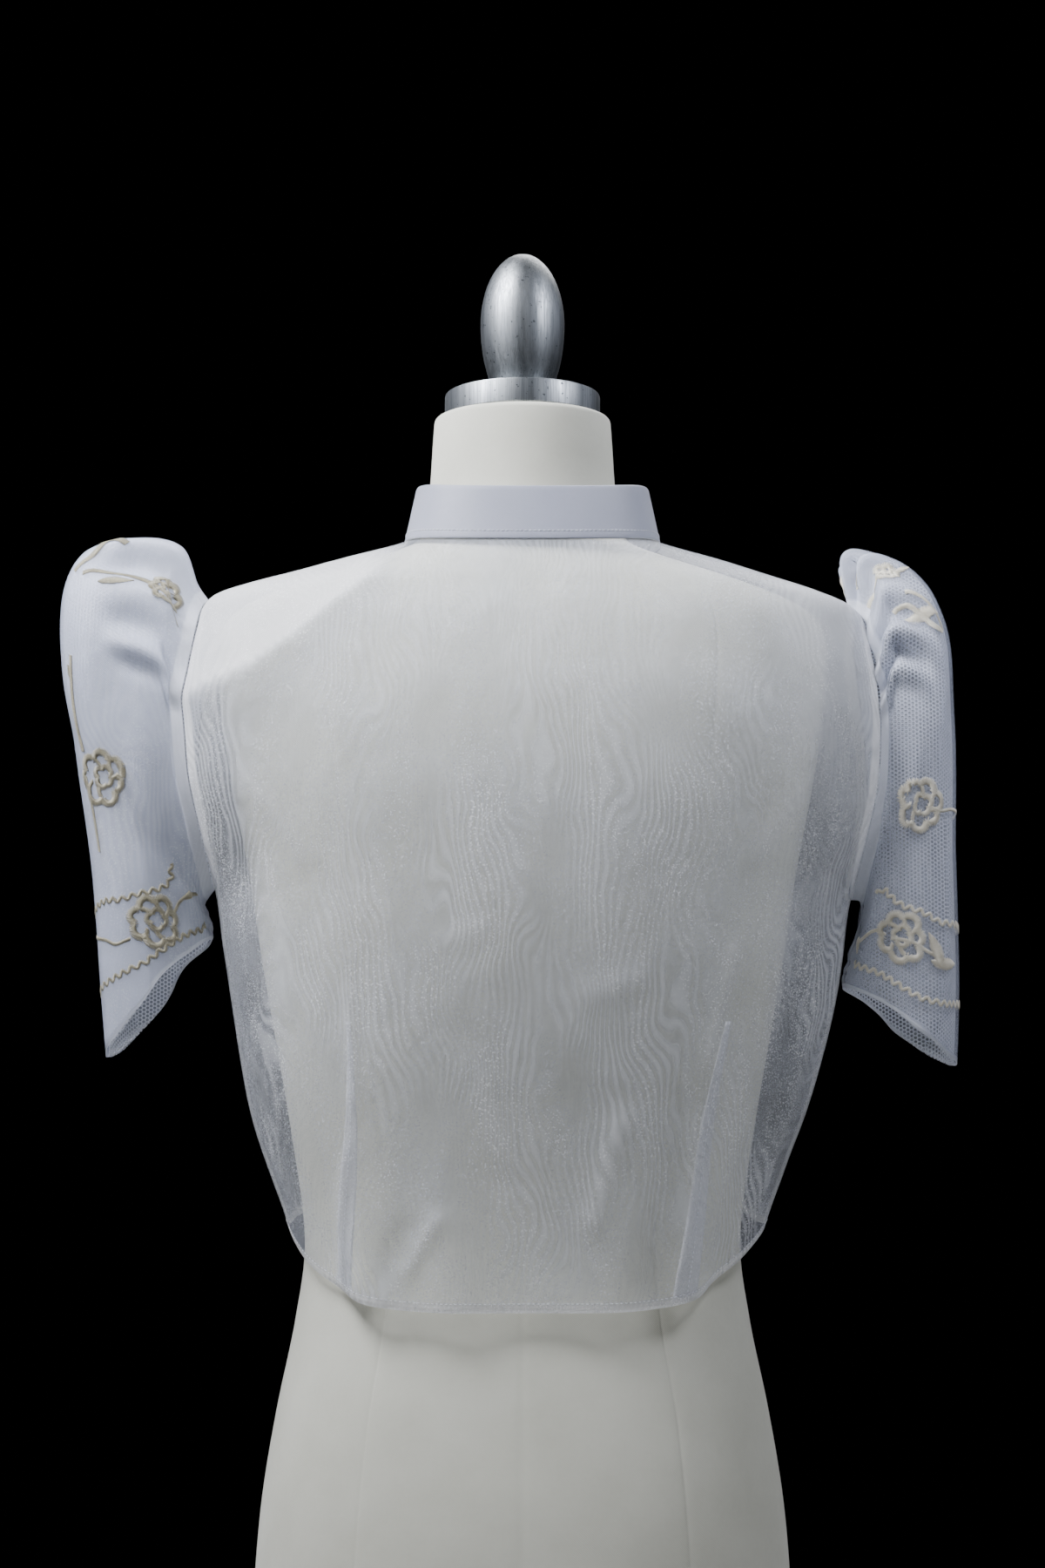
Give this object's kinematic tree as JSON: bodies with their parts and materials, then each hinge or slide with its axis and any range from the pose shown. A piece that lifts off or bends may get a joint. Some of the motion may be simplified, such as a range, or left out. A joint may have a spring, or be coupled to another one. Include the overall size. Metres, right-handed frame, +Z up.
{
  "type": "sheer bolero jacket on a limbless dress form and stand",
  "caption": "Sheer short jacket with a stand collar and stiff open butterfly sleeves over net, worn by a covered limbless dress form with a metal neck cap, pole and round base",
  "frame": {"origin": "middle of the flat underside of the round base", "axes": "+Z up along the stand, -Y towards the wearer's back, +X towards the wearer's right side"},
  "size_m": [0.5306, 0.33, 1.0486],
  "materials": {
    "organza": "sheer crisp organza, two layers worked as one, bluish white",
    "net": "stiff net with round cells",
    "collar_cloth": "doubled and stiffened organza, nearly opaque",
    "cover": "plain off-white woven cover",
    "aluminium": "brushed",
    "painted": "dark satin paint"
  },
  "bodies": {
    "root": {"back_panel": "organza", "front_left": "organza", "front_right": "organza", "dart_left": "organza", "dart_right": "organza", "stand_collar": "collar_cloth", "sleeve_left": "organza", "sleeve_net_left": "net", "sleeve_right": "organza", "sleeve_net_right": "net", "form_body": "cover", "neck_cap": "aluminium", "finial": "aluminium", "pole": "aluminium", "base": "painted"}
  },
  "joints": []
}
